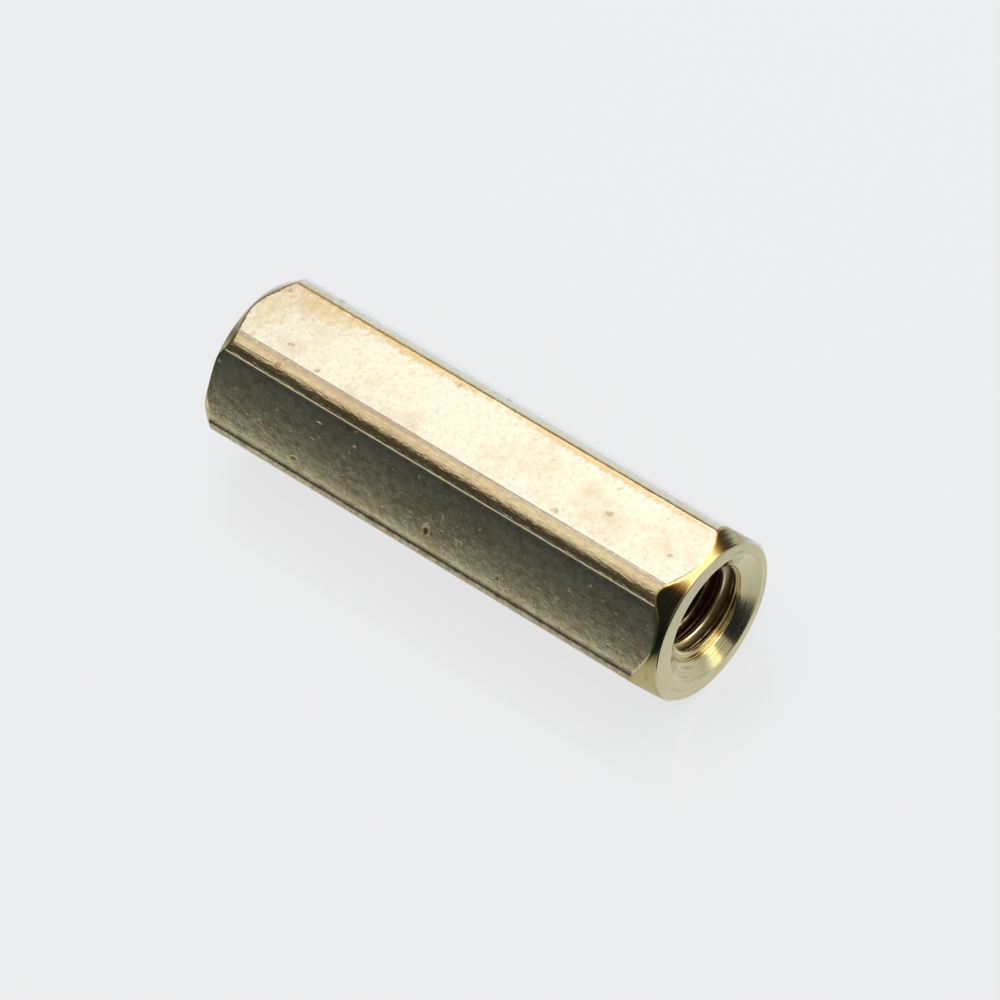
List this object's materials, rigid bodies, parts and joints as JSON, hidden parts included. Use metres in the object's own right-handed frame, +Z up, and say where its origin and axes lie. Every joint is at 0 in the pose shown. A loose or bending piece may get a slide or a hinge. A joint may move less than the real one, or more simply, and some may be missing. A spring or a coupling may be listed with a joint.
{
  "type": "hex standoff",
  "caption": "Short hexagonal brass spacer with rounded edges, chamfered ends and a threaded bore countersunk at both mouths.",
  "frame": {"origin": "middle of the flat that the standoff lies on", "axes": "+X along the threaded bore, +Z up out of the opposite flat, +Y across two rounded edges"},
  "size_m": [0.016, 0.0056, 0.005],
  "materials": {
    "brass": "bare drawn brass, bright with light tarnish and drawing lines, turned at the ends"
  },
  "bodies": {
    "root": {"standoff": "brass"}
  },
  "joints": []
}
